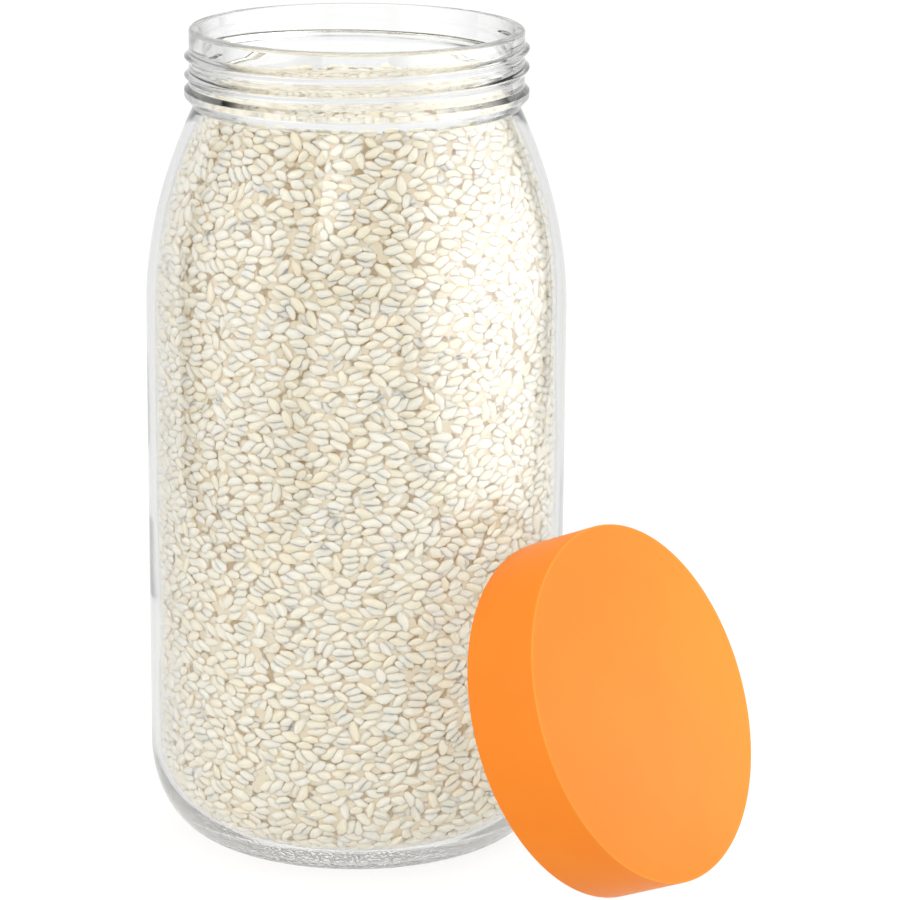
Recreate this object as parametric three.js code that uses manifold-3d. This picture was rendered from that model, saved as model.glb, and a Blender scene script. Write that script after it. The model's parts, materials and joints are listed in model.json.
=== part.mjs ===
// A tall glass preserving jar with a screw neck, filled with rice to just below the thread,
// and its plastic screw lid, taken off and leaning against the jar wall.
// Units are millimetres and +Z is up. Jar and lid stand on z = 0, and the origin is the middle
// of their common footprint, with the lid leaning on the +X side.

import * as THREE from 'three';
import { mergeVertices } from 'three/addons/utils/BufferGeometryUtils.js';
import ManifoldModule from 'manifold-3d';

const wasm = await ManifoldModule();
wasm.setup();

// Jar body
const JAR_HEIGHT = 269.2;
const BODY_RADIUS = 69;
const BODY_WALL = 2.8;
const HEEL_WIDTH = 18.7;
const HEEL_HEIGHT = 28.8;
const SHOULDER_HEIGHT = 65.9;
const SHOULDER_POWER = 1.92;

// Jar base
const BASE_THICKNESS = 4.2;
const BEARING_WIDTH = 5;
const PUSH_UP_HEIGHT = 4;

// Neck, with depths measured down from the rim
const LAND_RADIUS = 54.3;
const NECK_WALL = 3.4;
const RIM_OUTER_ROUND = 1.1;
const RIM_INNER_ROUND = 0.8;
const WAIST_INSET = 1.4;
const WAIST_DEPTH = 25.3;
const BEAD_PROJECTION = 1.6;
const BEAD_DEPTH = 18.2;
const BEAD_TOP_FLANK = 1.5;
const BEAD_CREST_WIDTH = 2.1;

// Screw thread, shared by the neck and the lid
const THREAD_PITCH = 6.1;
const NECK_THREAD_HEIGHT = 1.5;
const NECK_THREAD_ROOT = 4.4;
const NECK_THREAD_CREST = 0.9;
const NECK_THREAD_TURNS = 1.75;
const NECK_THREAD_DEPTH = 5.4;
const NECK_THREAD_END_ANGLE = 79.6;
const THREAD_CLEARANCE = 0.4;
const LID_THREAD_ROOT = 3.2;
const LID_THREAD_CREST = 0.9;
const LID_THREAD_TURNS = 1.5;
const LID_THREAD_START = 3.6;
const THREAD_FADE_TURNS = 0.09;

// Lid
const LID_HEIGHT = 26.1;
const LID_WALL = 2.2;
const LID_TOP = 2.5;
const LID_EDGE = 0.5;
const SKIRT_CLEARANCE = 0.35;
const SKIRT_MOUTH_CHAMFER = 0.8;

// Sealing ring and the rib that keeps it in place
const SEAL_THICKNESS = 2;
const SEAL_OVERHANG = 1.6;
const SEAL_CLEARANCE = 0.3;
const RIB_THICKNESS = 1.6;
const RIB_HEIGHT = 1.7;

// Rice
const RICE_HEADSPACE = 22;
const RICE_CROWN = 1.5;
const RICE_CLEARANCE = 0.4;

// How the lid leans on the jar
const LID_TILT = 66.9;
const LID_SIDE_OFFSET = -5.8;
const LEAN_CLEARANCE = 0.4;

// Facets: steps round a full turn, and along each kind of curve
const TURN_STEPS = 48;
const SHOULDER_STEPS = 9;
const HEEL_STEPS = 7;
const DOME_STEPS = 3;
const ROUND_STEPS = 2;
const ROOT_SINK = 0.6;

// Heights and radii worked out from the sizes above
const MOUTH_RADIUS = LAND_RADIUS - NECK_WALL;
const WAIST_RADIUS = LAND_RADIUS - WAIST_INSET;
const THROAT_RADIUS = WAIST_RADIUS - NECK_WALL;
const BEAD_RADIUS = LAND_RADIUS + BEAD_PROJECTION;
const WAIST_Z = JAR_HEIGHT - WAIST_DEPTH;
const SHOULDER_Z = WAIST_Z - SHOULDER_HEIGHT;
const BEARING_OUTER = BODY_RADIUS - HEEL_WIDTH;
const BEARING_INNER = BEARING_OUTER - BEARING_WIDTH;
const CAVITY_RADIUS = BODY_RADIUS - BODY_WALL;
const FLOOR_RADIUS = CAVITY_RADIUS - HEEL_WIDTH;
const RICE_Z = JAR_HEIGHT - RICE_HEADSPACE;
const NECK_CREST_RADIUS = LAND_RADIUS + NECK_THREAD_HEIGHT;
const SKIRT_INNER = Math.max(BEAD_RADIUS, NECK_CREST_RADIUS) + SKIRT_CLEARANCE;
const LID_RADIUS = SKIRT_INNER + LID_WALL;
const LID_CEILING = LID_HEIGHT - LID_TOP;
const SEAL_OUTER = SKIRT_INNER - SEAL_CLEARANCE;
const SEAL_INNER = MOUTH_RADIUS - SEAL_OVERHANG;
const RIB_OUTER = SEAL_INNER - SEAL_CLEARANCE;
const RIB_INNER = RIB_OUTER - RIB_THICKNESS;

const point = (radius, z) => new THREE.Vector2(radius, z);

// Points of an elliptic arc about (r, z), from one angle to another in degrees
function arc(r, z, semiR, semiZ, from, to, steps) {
  return Array.from({ length: steps + 1 }, (_, i) => {
    const angle = THREE.MathUtils.degToRad(from + ((to - from) * i) / steps);
    return point(r + semiR * Math.cos(angle), z + semiZ * Math.sin(angle));
  });
}

// Points of a shallow dome, from the axis out to its edge
function dome(edgeRadius, edgeZ, rise) {
  return Array.from({ length: DOME_STEPS + 1 }, (_, i) => {
    const share = i / DOME_STEPS;
    return point(edgeRadius * share, edgeZ + rise * (1 - share ** 2));
  });
}

// Radius of the shoulder curve between the body and the neck, at a share of its height
function shoulderRadius(body, neck, share) {
  return body - (body - neck) * share ** SHOULDER_POWER;
}

// Outer radius of the body and shoulder at a height above the heel
function outerRadius(z) {
  const share = THREE.MathUtils.clamp((z - SHOULDER_Z) / SHOULDER_HEIGHT, 0, 1);
  return shoulderRadius(BODY_RADIUS, WAIST_RADIUS, share);
}

// Radius of the jar's inside at a height above the heel, up to the rim
function innerRadius(z) {
  if (z > WAIST_Z) {
    const share = (z - WAIST_Z) / WAIST_DEPTH;
    return THREE.MathUtils.lerp(THROAT_RADIUS, MOUTH_RADIUS, share);
  }
  const share = THREE.MathUtils.clamp((z - SHOULDER_Z) / SHOULDER_HEIGHT, 0, 1);
  return shoulderRadius(CAVITY_RADIUS, THROAT_RADIUS, share);
}

// Heights of the shoulder's points, from the body up to a given top
function shoulderHeights(top) {
  const rows = Array.from({ length: SHOULDER_STEPS + 1 }, (_, i) => {
    return SHOULDER_Z + (SHOULDER_HEIGHT * i) / SHOULDER_STEPS;
  });
  return rows.filter((z) => z < top);
}

// The jar's inside from the middle of its floor to the top of its heel, moved in by a gap
function floorAndHeel(gap) {
  const floor = dome(FLOOR_RADIUS, BASE_THICKNESS + gap, PUSH_UP_HEIGHT);
  const rise = HEEL_HEIGHT - BASE_THICKNESS;
  const heel = arc(FLOOR_RADIUS, HEEL_HEIGHT, HEEL_WIDTH - gap, rise - gap, -90, 0, HEEL_STEPS);
  return [...floor, ...heel.slice(1)];
}

// Removes doubled points and empty triangles, so that the surface is one closed skin
function closedSkin(geometry) {
  geometry.deleteAttribute('normal');
  geometry.deleteAttribute('uv');
  const skin = mergeVertices(geometry, 1e-4);
  const corners = skin.index.array;
  const kept = [];
  for (let i = 0; i < corners.length; i += 3) {
    const [a, b, c] = [corners[i], corners[i + 1], corners[i + 2]];
    if (a !== b && b !== c && c !== a) kept.push(a, b, c);
  }
  skin.setIndex(kept);
  return skin;
}

// Turns an outline of radii and heights round the Z axis
function turned(outline) {
  const geometry = new THREE.LatheGeometry(outline, TURN_STEPS);
  geometry.rotateX(Math.PI / 2);
  return closedSkin(geometry);
}

// A closed surface as a solid that can be joined to another
function solidOf(geometry) {
  const vertProperties = new Float32Array(geometry.attributes.position.array);
  const triVerts = new Uint32Array(geometry.index.array);
  return new wasm.Manifold(new wasm.Mesh({ numProp: 3, vertProperties, triVerts }));
}

// Two closed surfaces joined into one
function joined(first, second) {
  const { vertProperties, triVerts } = solidOf(first).add(solidOf(second)).getMesh();
  const geometry = new THREE.BufferGeometry();
  geometry.setAttribute('position', new THREE.BufferAttribute(vertProperties, 3));
  geometry.setIndex(new THREE.BufferAttribute(triVerts, 1));
  return geometry;
}

// A right-hand screw ridge that stands on a round wall and fades into it at both ends.
// Its root is sunk into the wall, and a crest radius below the wall's makes an inside thread.
function threadRidge({ wall, crest, rootWidth, crestWidth, turns, startAngle, startZ }) {
  const side = Math.sign(crest - wall);
  const sunk = wall - side * ROOT_SINK;
  const steps = Math.round(turns * TURN_STEPS);
  const positions = [];
  for (let i = 0; i <= steps; i += 1) {
    const turn = (turns * i) / steps;
    const angle = THREE.MathUtils.degToRad(startAngle) + turn * Math.PI * 2;
    const z = startZ + turn * THREAD_PITCH;
    const fade = Math.min(1, Math.min(turn, turns - turn) / THREAD_FADE_TURNS);
    const top = THREE.MathUtils.lerp(wall - (side * ROOT_SINK) / 2, crest, fade);
    const section = [
      [sunk, -rootWidth / 2],
      [top, -crestWidth / 2],
      [top, crestWidth / 2],
      [sunk, rootWidth / 2],
    ];
    for (const [radius, dz] of section) {
      positions.push(radius * Math.cos(angle), radius * Math.sin(angle), z + dz);
    }
  }
  const faces = [];
  const quad = (a, b, c, d) => faces.push(a, b, c, a, c, d);
  for (let i = 0; i < steps; i += 1) {
    for (let k = 0; k < 4; k += 1) {
      const next = (k + 1) % 4;
      quad(4 * i + k, 4 * i + 4 + k, 4 * i + 4 + next, 4 * i + next);
    }
  }
  quad(0, 1, 2, 3);
  quad(4 * steps + 3, 4 * steps + 2, 4 * steps + 1, 4 * steps);
  if (side < 0) faces.reverse();
  const geometry = new THREE.BufferGeometry();
  geometry.setAttribute('position', new THREE.Float32BufferAttribute(positions, 3));
  geometry.setIndex(faces);
  return geometry;
}

// Glass jar: domed base on a bearing ring, round heel, straight wall, long shoulder, screw neck
function glassJar() {
  const beadCrest = JAR_HEIGHT - BEAD_DEPTH - BEAD_TOP_FLANK;
  const wallTop = shoulderHeights(WAIST_Z);
  const outside = [
    ...dome(BEARING_INNER, 0, PUSH_UP_HEIGHT),
    ...arc(BEARING_OUTER, HEEL_HEIGHT, HEEL_WIDTH, HEEL_HEIGHT, -90, 0, HEEL_STEPS),
    ...wallTop.map((z) => point(outerRadius(z), z)),
    point(WAIST_RADIUS, WAIST_Z),
    point(BEAD_RADIUS, beadCrest - BEAD_CREST_WIDTH),
    point(BEAD_RADIUS, beadCrest),
    point(LAND_RADIUS, JAR_HEIGHT - BEAD_DEPTH),
  ];
  const rim = [
    ...arc(LAND_RADIUS - RIM_OUTER_ROUND, JAR_HEIGHT - RIM_OUTER_ROUND,
      RIM_OUTER_ROUND, RIM_OUTER_ROUND, 0, 90, ROUND_STEPS),
    ...arc(MOUTH_RADIUS + RIM_INNER_ROUND, JAR_HEIGHT - RIM_INNER_ROUND,
      RIM_INNER_ROUND, RIM_INNER_ROUND, 90, 180, ROUND_STEPS),
  ];
  const inside = [
    point(THROAT_RADIUS, WAIST_Z),
    ...wallTop.map((z) => point(innerRadius(z), z)).reverse(),
    ...floorAndHeel(0).reverse(),
  ];
  const ridge = threadRidge({
    wall: LAND_RADIUS,
    crest: NECK_CREST_RADIUS,
    rootWidth: NECK_THREAD_ROOT,
    crestWidth: NECK_THREAD_CREST,
    turns: NECK_THREAD_TURNS,
    startAngle: NECK_THREAD_END_ANGLE - NECK_THREAD_TURNS * 360,
    startZ: JAR_HEIGHT - NECK_THREAD_DEPTH - NECK_THREAD_TURNS * THREAD_PITCH,
  });
  return joined(turned([...outside, ...rim, ...inside]), ridge);
}

// Rice: the jar's inside moved in by its clearance, up to a level with a low crown
function riceFill() {
  const sides = shoulderHeights(RICE_Z).concat(RICE_Z);
  const crown = dome(innerRadius(RICE_Z) - RICE_CLEARANCE, RICE_Z, RICE_CROWN);
  return turned([
    ...floorAndHeel(RICE_CLEARANCE),
    ...sides.map((z) => point(innerRadius(z) - RICE_CLEARANCE, z)),
    ...crown.slice(0, -1).reverse(),
  ]);
}

// Screw lid with its open edge on z = 0: flat top, plain skirt, ring rib and inside thread
function screwLid() {
  const shell = turned([
    point(0, LID_CEILING),
    point(RIB_INNER, LID_CEILING),
    point(RIB_INNER, LID_CEILING - RIB_HEIGHT),
    point(RIB_OUTER, LID_CEILING - RIB_HEIGHT),
    point(RIB_OUTER, LID_CEILING),
    point(SKIRT_INNER, LID_CEILING),
    point(SKIRT_INNER, SKIRT_MOUTH_CHAMFER),
    point(SKIRT_INNER + SKIRT_MOUTH_CHAMFER / 2, 0),
    point(LID_RADIUS - LID_EDGE, 0),
    point(LID_RADIUS, LID_EDGE),
    point(LID_RADIUS, LID_HEIGHT - LID_EDGE),
    point(LID_RADIUS - LID_EDGE, LID_HEIGHT),
    point(0, LID_HEIGHT),
  ]);
  const ridge = threadRidge({
    wall: SKIRT_INNER,
    crest: LAND_RADIUS + THREAD_CLEARANCE,
    rootWidth: LID_THREAD_ROOT,
    crestWidth: LID_THREAD_CREST,
    turns: LID_THREAD_TURNS,
    startAngle: 0,
    startZ: LID_THREAD_START,
  });
  return joined(shell, ridge);
}

// Sealing ring, flat, up against the inside of the lid's top
function sealingRing() {
  const top = LID_CEILING - SEAL_CLEARANCE;
  const bottom = top - SEAL_THICKNESS;
  return turned([
    point(SEAL_INNER, bottom),
    point(SEAL_OUTER, bottom),
    point(SEAL_OUTER, top),
    point(SEAL_INNER, top),
    point(SEAL_INNER, bottom),
  ]);
}

// A named piece with its own material
function piece(name, geometry, look) {
  geometry.computeVertexNormals();
  const mesh = new THREE.Mesh(geometry, new THREE.MeshStandardMaterial(look));
  mesh.name = name;
  return mesh;
}

const jar = new THREE.Group();
jar.add(
  piece('glass_jar', glassJar(), {
    color: 0xe6ece8, roughness: 0.05, metalness: 0, transparent: true, opacity: 0.35,
  }),
  piece('rice_fill', riceFill(), { color: 0xebe2d0, roughness: 0.7, metalness: 0 }),
);

// The lid stands on the lowest corner of its open edge, and the highest one meets the jar wall
const lid = new THREE.Group();
lid.add(
  piece('screw_lid', screwLid(), { color: 0xff9440, roughness: 0.4, metalness: 0 }),
  piece('sealing_ring', sealingRing(), { color: 0xdcdcd4, roughness: 0.6, metalness: 0 }),
);
const tilt = THREE.MathUtils.degToRad(LID_TILT);
const sine = Math.sin(tilt);
const cosine = Math.cos(tilt);
const edgeRise = Math.max(LID_RADIUS * sine - LID_EDGE * cosine, (LID_RADIUS - LID_EDGE) * sine);
const edgeReach = Math.max(LID_RADIUS * cosine - LID_EDGE * sine, (LID_RADIUS - LID_EDGE) * cosine);
const leanRadius = outerRadius(edgeRise + LID_RADIUS * sine);
lid.rotation.y = tilt;
lid.position.set(leanRadius + LEAN_CLEARANCE + edgeReach, LID_SIDE_OFFSET, edgeRise);

// Both on one group, moved so that the origin is the middle of the footprint
const preservingJar = new THREE.Group();
preservingJar.add(jar, lid);
const middle = new THREE.Box3().setFromObject(preservingJar, true).getCenter(new THREE.Vector3());
jar.position.x -= middle.x;
lid.position.x -= middle.x;
jar.position.y -= middle.y;
lid.position.y -= middle.y;

export default preservingJar;
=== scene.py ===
"""Looks of a tall glass preserving jar full of rice, with its orange screw lid leaning on it.

Lengths are in metres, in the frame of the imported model: +Z is up, and the lid leans on the +X side.
"""

import json
import logging
import math
from dataclasses import dataclass, field
from enum import Enum
from itertools import pairwise, product
from typing import Any, NamedTuple, Sequence

import bmesh
import bpy
import numpy as np
from mathutils import Matrix, Vector, noise


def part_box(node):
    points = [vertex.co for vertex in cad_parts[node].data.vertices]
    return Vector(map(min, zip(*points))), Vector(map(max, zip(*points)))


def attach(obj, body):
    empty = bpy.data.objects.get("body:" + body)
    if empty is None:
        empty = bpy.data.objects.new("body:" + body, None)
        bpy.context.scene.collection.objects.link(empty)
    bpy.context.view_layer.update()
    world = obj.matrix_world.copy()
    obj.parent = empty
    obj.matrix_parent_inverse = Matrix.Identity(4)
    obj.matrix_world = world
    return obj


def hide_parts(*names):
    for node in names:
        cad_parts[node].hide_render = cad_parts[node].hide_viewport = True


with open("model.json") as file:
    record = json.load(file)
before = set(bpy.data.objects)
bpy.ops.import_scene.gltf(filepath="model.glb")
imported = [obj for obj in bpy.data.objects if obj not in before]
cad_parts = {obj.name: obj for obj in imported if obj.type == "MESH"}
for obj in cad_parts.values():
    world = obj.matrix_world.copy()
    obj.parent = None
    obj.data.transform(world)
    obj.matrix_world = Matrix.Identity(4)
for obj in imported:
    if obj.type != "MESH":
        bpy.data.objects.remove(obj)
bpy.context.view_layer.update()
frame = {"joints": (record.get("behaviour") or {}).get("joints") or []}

MM = 0.001
FULL_TURN = math.tau
MERGE_DISTANCE = 1e-6
WALL_TOLERANCE = 1e-5
log = logging.getLogger("preserving_jar")

Colour = tuple[float, float, float, float]
Span = tuple[float, float]
WHITE: Colour = (1.0, 1.0, 1.0, 1.0)
BLACK: Colour = (0.0, 0.0, 0.0, 1.0)


class Body(Enum):
    """The bodies that pieces ride on."""

    JAR = "jar"
    RING = "ring"
    LID = "lid"


class Slot(Enum):
    """The record's material slots."""

    GLASS = "clear_glass"
    RICE = "rice"
    PLASTIC = "orange_plastic"
    SILICONE = "silicone"


class Wire:
    """A value on its way between shader nodes; arithmetic on it adds Math nodes."""

    def __init__(self, sheet: "NodeSheet", socket: bpy.types.NodeSocket) -> None:
        """Hold one output socket and the sheet that it is on."""
        self.sheet = sheet
        self.socket = socket

    def math(self, operation: str, *values: "Wire | float") -> "Wire":
        """Add a Math node.

        Args:
            operation: the Math node's operation.
            values: its inputs, in order.

        Returns:
            The node's result.
        """
        return self.sheet.node("ShaderNodeMath", {"operation": operation}, dict(enumerate(values)))[0]

    def __add__(self, other: "Wire | float") -> "Wire":
        """Add a value to this one."""
        return self.math("ADD", self, other)

    def __radd__(self, other: float) -> "Wire":
        """Add this one to a number."""
        return self.math("ADD", other, self)

    def __sub__(self, other: "Wire | float") -> "Wire":
        """Take a value from this one."""
        return self.math("SUBTRACT", self, other)

    def __rsub__(self, other: float) -> "Wire":
        """Take this one from a number."""
        return self.math("SUBTRACT", other, self)

    def __mul__(self, other: "Wire | float") -> "Wire":
        """Multiply this one by a value."""
        return self.math("MULTIPLY", self, other)

    def __rmul__(self, other: float) -> "Wire":
        """Multiply a number by this one."""
        return self.math("MULTIPLY", other, self)

    def __pow__(self, other: float) -> "Wire":
        """Raise this one to a power."""
        return self.math("POWER", self, other)

    def size(self) -> "Wire":
        """This value without its sign."""
        return self.math("ABSOLUTE", self)

    def largest(self, other: "Wire | float") -> "Wire":
        """The larger of this value and another."""
        return self.math("MAXIMUM", self, other)

    def ramp(self, low: float, high: float) -> "Wire":
        """A smooth step from 0 at low to 1 at high, which may be the smaller of the two.

        Args:
            low: the value that gives 0.
            high: the value that gives 1.

        Returns:
            The step's share.
        """
        settings = {"interpolation_type": "SMOOTHSTEP"}
        if low < high:
            return self.sheet.node("ShaderNodeMapRange", settings, {0: self, 1: low, 2: high})[0]
        return 1.0 - self.ramp(high, low)


class Node:
    """A shader node whose outputs are read by name or number."""

    def __init__(self, sheet: "NodeSheet", made: bpy.types.Node) -> None:
        """Hold a node and the sheet that it is on."""
        self.sheet = sheet
        self.made = made

    def __getitem__(self, key: str | int) -> Wire:
        """The output of that name or number."""
        return Wire(self.sheet, self.made.outputs[key])


class NodeSheet:
    """The shader nodes of one material or of the world."""

    def __init__(self, owner: bpy.types.Material | bpy.types.World) -> None:
        """Start with no nodes."""
        owner.use_nodes = True
        self.owner = owner
        self.tree = owner.node_tree
        self.tree.nodes.clear()

    def node(self, kind: str, settings: dict[str, Any] | None = None,
             inputs: dict[str | int, Any] | None = None) -> Node:
        """Add a node.

        Args:
            kind: the node's type.
            settings: its properties, set first; "stops" is a colour ramp's list of places and colours.
            inputs: values or wires for its input sockets, by name or number.

        Returns:
            The new node.
        """
        made = self.tree.nodes.new(kind)
        for name, value in (settings or {}).items():
            if name == "stops":
                self._set_stops(made.color_ramp, value)
            else:
                setattr(made, name, value)
        for key, value in (inputs or {}).items():
            if isinstance(value, Wire):
                self.tree.links.new(value.socket, made.inputs[key])
            else:
                made.inputs[key].default_value = value
        return Node(self, made)

    @staticmethod
    def _set_stops(ramp: bpy.types.ColorRamp, stops: Sequence[tuple[float, Colour]]) -> None:
        """Put the stops of a colour ramp.

        Args:
            ramp: the ramp, which has two stops when it is new.
            stops: places from 0 to 1 with their colours.
        """
        while len(ramp.elements) < len(stops):
            ramp.elements.new(1.0)
        for element, (place, colour) in zip(ramp.elements, stops):
            element.position = place
            element.color = colour

    def place(self, centre: Vector) -> Wire:
        """Object coordinates measured from a centre.

        Args:
            centre: the point that becomes the origin.

        Returns:
            The coordinates.
        """
        coordinates = self.node("ShaderNodeTexCoord")["Object"]
        return self.node("ShaderNodeMapping", None, {"Vector": coordinates, "Location": -centre})[0]

    def noise(self, at: Wire, size: float, detail: float = 2.0) -> Wire:
        """Soft noise from 0 to 1.

        Args:
            at: the coordinates.
            size: about how wide one blotch is.
            detail: how many finer layers are added.

        Returns:
            The noise.
        """
        inputs = {"Vector": at, "Scale": 1.0 / size, "Detail": detail}
        return self.node("ShaderNodeTexNoise", None, inputs)["Fac"]

    def blend(self, share: Wire, first: "Wire | Colour", second: "Wire | Colour") -> Wire:
        """Mix two colours.

        Args:
            share: how much of the second colour shows.
            first: the colour at a share of 0.
            second: the colour at a share of 1.

        Returns:
            The mixed colour.
        """
        return self.node("ShaderNodeMix", {"data_type": "RGBA"}, {0: share, 6: first, 7: second})[2]

    def bump(self, height: Wire, depth: float) -> Wire:
        """A normal that follows a height pattern.

        Args:
            height: the pattern, from 0 to 1.
            depth: how far the pattern stands up.

        Returns:
            The normal.
        """
        return self.node("ShaderNodeBump", None, {"Height": height, "Distance": depth})[0]

    def looked_at(self) -> Wire:
        """Make 1 for what is seen, through glass or in a mirror too, and 0 for light on matt things."""
        path = self.node("ShaderNodeLightPath")
        return path["Is Camera Ray"].largest(path["Is Glossy Ray"]).largest(path["Is Transmission Ray"])

    def finish(self, shader: Wire, inside: Wire | None = None) -> Any:
        """Send a shader to the output.

        Args:
            shader: what the surface or the world shows.
            inside: what fills a clear body.

        Returns:
            The finished material or world.
        """
        world = isinstance(self.owner, bpy.types.World)
        kind = "ShaderNodeOutputWorld" if world else "ShaderNodeOutputMaterial"
        self.node(kind, None, {"Surface": shader} | ({"Volume": inside} if inside else {}))
        return self.owner


def new_sheet(name: str) -> NodeSheet:
    """Start an empty material of that name."""
    return NodeSheet(bpy.data.materials.new(name))


@dataclass(frozen=True)
class GlassFinish:
    """Clear pressed glass, a little uneven, with a stippled ring to stand on, and with painted shade towards
    its grazing edges, on the stippled ring and on the neck's upward slopes.
    """

    tint: Colour = (0.985, 0.99, 0.987, 1.0)
    # painted shade: the glass turns to this grey towards grazing angles, for its grey edges
    painted_edge_shade: Colour = (0.12, 0.118, 0.10, 1.0)
    edge_power: float = 2.3
    depth_tint: Colour = (0.42, 0.50, 0.46, 1.0)
    depth_density: float = 1.9
    index: float = 1.5
    roughness: float = 0.004
    smudge: float = 0.02
    smudge_size: float = 24 * MM
    smudge_detail: float = 4.0
    smudge_span: Span = (0.55, 0.8)
    wave_size: float = 36 * MM
    wave_depth: float = 0.10 * MM
    streak_length: float = 90 * MM
    streak_width: float = 1.0 * MM
    streak_depth: float = 0.08 * MM
    streak_roughness: float = 0.06
    streak_start: Span = (-1.5 * MM, 0.5 * MM)
    streak_end: float = 4 * MM
    streak_facing: Span = (0.5, 0.2)
    stipple_size: float = 1.25 * MM
    stipple_depth: float = 0.4 * MM
    stipple_roughness: float = 0.2
    stipple_height: float = 6 * MM
    stipple_full: float = 3.6 * MM
    stipple_span: Span = (0.4, 0.62)
    # painted shade: the stippled ring is coloured this grey, for its grey look
    stipple_painted_shade: Colour = (0.29, 0.28, 0.24, 1.0)
    # heel_clearing: how much of the painted edge shade the heel loses
    heel_clearing: float = 0.85
    clear_rim: float = 7 * MM
    # painted shade on the neck's upward slopes and the rim's outer round, at grazing angles
    neck_painted_shade: Colour = (0.035, 0.034, 0.028, 1.0)
    neck_shade_facing: Span = (0.18, 0.42)

    def material(self, centre: Vector, heel: float, neck: Span) -> bpy.types.Material:
        """Make the glass, with painted shade at grazing edges, on the stippled ring, and where the attribute
        "flank" marks slopes of the neck that face up and the rim's outer round.

        Args:
            centre: the middle of the jar's foot.
            heel: how high the round heel reaches, whose edges get less painted shade.
            neck: the heights between which the neck lies, whose mould leaves it streaked.

        Returns:
            The material.
        """
        sheet = new_sheet("clear_glass")
        at = sheet.place(centre)
        up = sheet.node("ShaderNodeSeparateXYZ", None, {0: at})[2]
        foot = up.ramp(self.stipple_height, self.stipple_full)
        stipple = sheet.noise(at, self.stipple_size).ramp(*self.stipple_span) * foot
        wave = sheet.noise(at, self.wave_size, 1.0)
        height = wave * (self.wave_depth / self.stipple_depth) + stipple
        scale = (1.0 / self.streak_length, 1.0 / self.streak_length, 1.0 / self.streak_width)
        streaks = sheet.noise(sheet.node("ShaderNodeMapping", None, {"Vector": at, "Scale": scale})[0], 1.0)
        low, high = neck[0], neck[1] - self.clear_rim
        facing = sheet.node("ShaderNodeLayerWeight", None, {"Blend": 0.5})["Facing"]
        start, full = self.streak_start
        streaked = up.ramp(low + start, low + full) * up.ramp(high, high - self.streak_end)
        streaked = streaked * facing.ramp(*self.streak_facing)
        height = height + streaks * streaked * (self.streak_depth / self.stipple_depth)
        smudges = sheet.noise(at, self.smudge_size, self.smudge_detail).ramp(*self.smudge_span)
        clearing = 1.0 - up.ramp(heel, heel / 3) * self.heel_clearing
        # painted shade: darker towards grazing angles, less on the heel
        edges = sheet.blend(facing ** self.edge_power * clearing, self.tint, self.painted_edge_shade)
        # painted shade where the attribute "flank" marks the neck's upward slopes and the rim's outer round
        flank = sheet.node("ShaderNodeAttribute", {"attribute_name": "flank"})["Fac"]
        edges = sheet.blend(flank * facing.ramp(*self.neck_shade_facing), edges, self.neck_painted_shade)
        # the stippled ring gets painted shade in its colour, besides its roughness and bumps
        shader = sheet.node("ShaderNodeBsdfPrincipled", None, {
            "Base Color": sheet.blend(stipple, edges, self.stipple_painted_shade),
            "Roughness": self.roughness + smudges * self.smudge + stipple * self.stipple_roughness
                         + streaked * self.streak_roughness,
            "IOR": self.index,
            "Transmission Weight": 1.0,
            "Normal": sheet.bump(height, self.stipple_depth),
        })
        inputs = {"Color": self.depth_tint, "Density": self.depth_density}
        return sheet.finish(shader[0], sheet.node("ShaderNodeVolumeAbsorption", None, inputs)[0])


@dataclass(frozen=True)
class RiceFinish:
    """Matt short-grain rice, cream to chalky white, each grain with its own tint."""

    warm: Colour = (0.925, 0.80, 0.60, 1.0)
    cream: Colour = (0.95, 0.845, 0.675, 1.0)
    chalk: Colour = (0.96, 0.89, 0.765, 1.0)
    # bed colours: a warm cream, and a dark brown as painted shade in the gaps between its cells
    between: Colour = (0.81, 0.71, 0.53, 1.0)
    gap_shade: Colour = (0.52, 0.38, 0.21, 1.0)
    roughness: float = 0.5
    speck_size: float = 1.6 * MM
    speck_depth: float = 0.06 * MM
    husk_size: float = 3.4 * MM
    glow: float = 0.9
    glow_depth: tuple[float, float, float] = (1.8 * MM, 1.8 * MM, 1.8 * MM)
    gloss: float = 0.35
    cream_place: float = 0.45
    speck_tint: float = 0.35
    speck_roughness: float = 0.2
    gap_span: Span = (0.55, 0.8)
    gap_depth: float = 0.8 * MM
    bed_roughness: float = 0.55
    gap_roughness: float = 0.3

    def grains(self) -> bpy.types.Material:
        """Make the look of the loose grains, whose attribute "tint" runs from warm to chalky."""
        sheet = new_sheet("rice_grains")
        at = sheet.place(Vector())
        own = sheet.node("ShaderNodeAttribute", {"attribute_name": "tint"})["Fac"]
        speck = sheet.noise(at, self.speck_size)
        stops = [(0.0, self.warm), (self.cream_place, self.cream), (1.0, self.chalk)]
        tint = sheet.node("ShaderNodeValToRGB", {"stops": stops}, {0: own + (speck - 0.5) * self.speck_tint})
        shader = sheet.node("ShaderNodeBsdfPrincipled", None, {
            "Base Color": tint["Color"],
            "Roughness": self.roughness + (speck - 0.5) * self.speck_roughness,
            "Specular IOR Level": self.gloss,
            "Subsurface Weight": self.glow,
            "Subsurface Radius": self.glow_depth,
            "Subsurface Scale": 1.0,
            "Normal": sheet.bump(speck, self.speck_depth),
        })
        return sheet.finish(shader[0])

    def bed(self) -> bpy.types.Material:
        """Make the shaded look of the rice deeper in, behind the modelled grains."""
        sheet = new_sheet("rice_bed")
        at = sheet.place(Vector())
        cells = sheet.node("ShaderNodeTexVoronoi", None, {"Vector": at, "Scale": 1.0 / self.husk_size})
        gaps = cells["Distance"].ramp(*self.gap_span)
        shader = sheet.node("ShaderNodeBsdfPrincipled", None, {
            # painted shade: the darker colour in the gaps between the cells
            "Base Color": sheet.blend(gaps, self.between, self.gap_shade),
            "Roughness": self.bed_roughness + gaps * self.gap_roughness,
            "Normal": sheet.bump(1.0 - gaps, self.gap_depth),
        })
        return sheet.finish(shader[0])


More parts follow.
